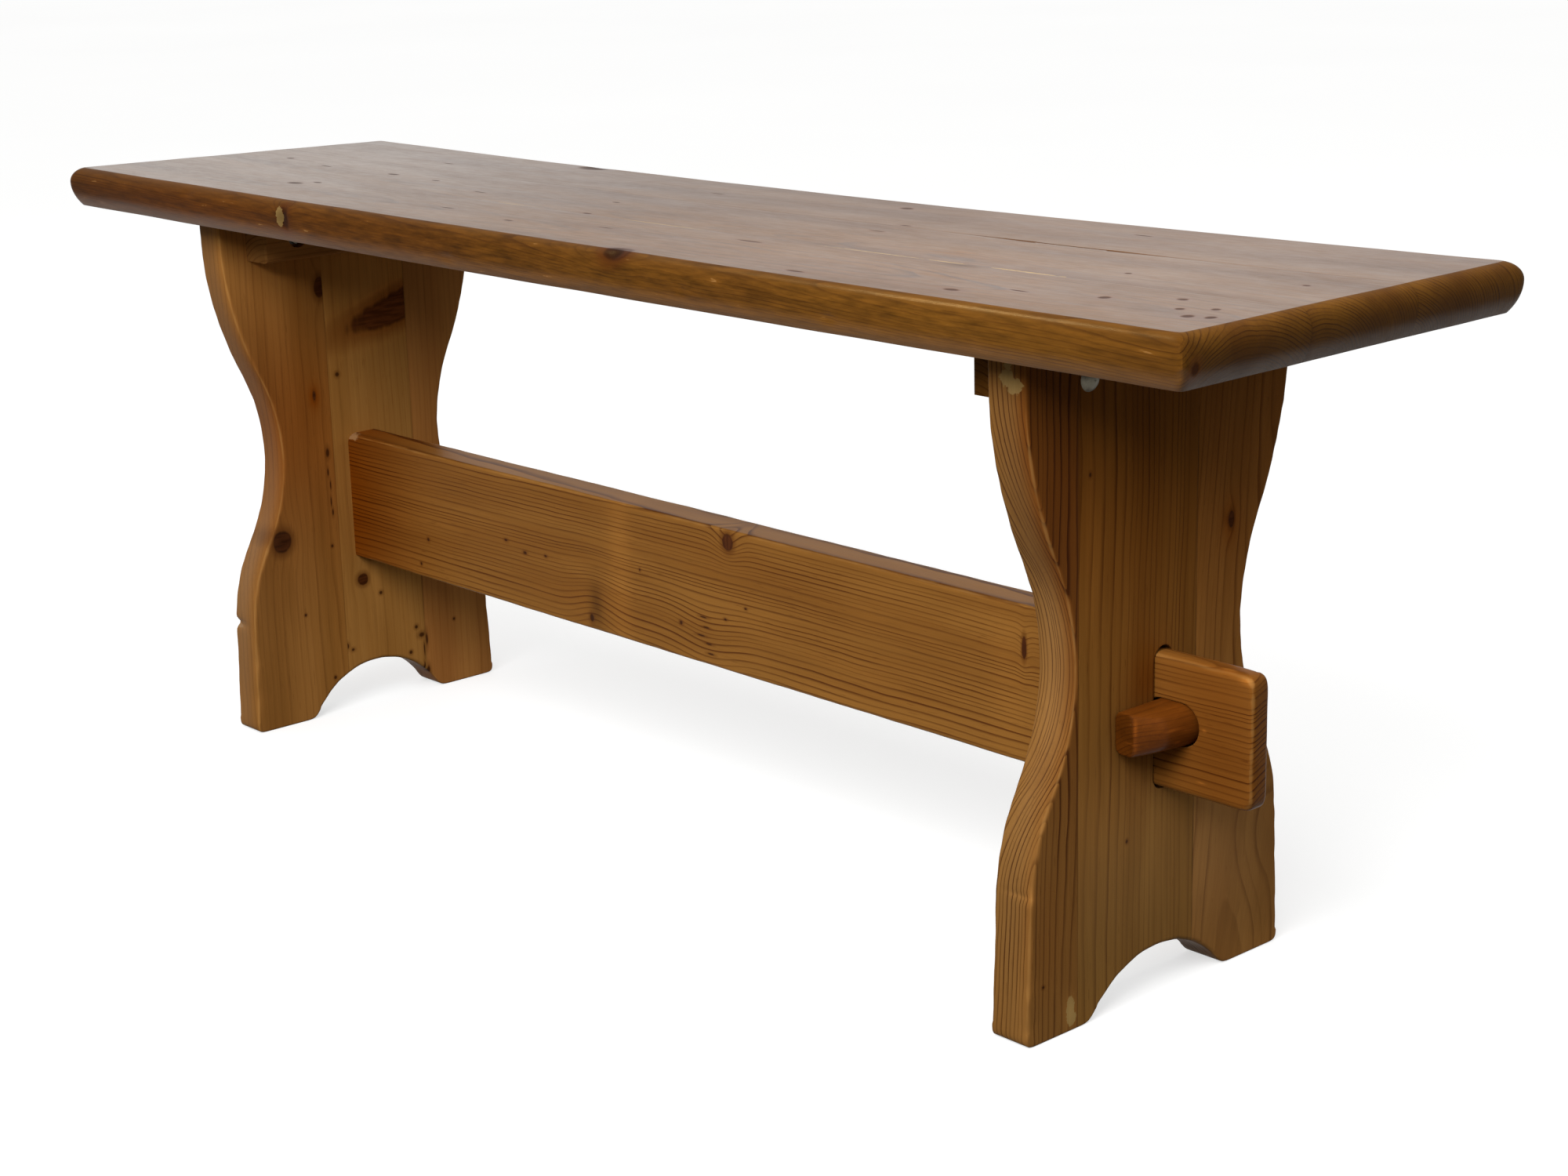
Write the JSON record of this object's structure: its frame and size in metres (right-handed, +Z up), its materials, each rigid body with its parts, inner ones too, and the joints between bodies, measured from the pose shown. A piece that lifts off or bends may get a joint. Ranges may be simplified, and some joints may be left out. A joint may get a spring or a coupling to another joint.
{
  "type": "trestle bench",
  "caption": "Knock-down pine trestle bench: a bull-nosed board seat on hourglass end panels, joined by a stretcher whose through tenons are locked by tapered wedges.",
  "frame": {"origin": "on the floor, under the middle of the seat", "axes": "+X along the bench to its right end, -Y to the front where the wedges' thin tips show, +Z up"},
  "size_m": [1.166, 0.306, 0.45],
  "materials": {
    "seat_pine": "aged varnish, satin",
    "panel_pine": "aged varnish, satin",
    "rail_pine": "aged varnish, satin",
    "wedge_pine": "aged varnish, satin, dented",
    "cleat_pine": "aged varnish, dull",
    "zinc_steel": "dull zinc plating"
  },
  "bodies": {
    "frame": {"seat_front_board": "seat_pine", "seat_middle_board": "seat_pine", "seat_back_board": "seat_pine", "stretcher": "rail_pine", "left_panel_front_stave": "panel_pine", "left_panel_middle_stave": "panel_pine", "left_panel_back_stave": "panel_pine", "left_cleat": "cleat_pine", "right_panel_front_stave": "panel_pine", "right_panel_middle_stave": "panel_pine", "right_panel_back_stave": "panel_pine", "right_cleat": "cleat_pine", "panel_bolts": "zinc_steel", "bolt_washers": "zinc_steel", "bolt_nuts": "zinc_steel", "cleat_screws": "zinc_steel"},
    "left_wedge": {"left_wedge": "wedge_pine"},
    "right_wedge": {"right_wedge": "wedge_pine"}
  },
  "joints": [
    {"name": "left_wedge_slide", "type": "slide", "parent": "frame", "child": "left_wedge", "axis": [0, 1, 0], "range_m": [0, 0.055]},
    {"name": "right_wedge_slide", "type": "slide", "parent": "frame", "child": "right_wedge", "axis": [0, 1, 0], "range_m": [0, 0.055]}
  ]
}
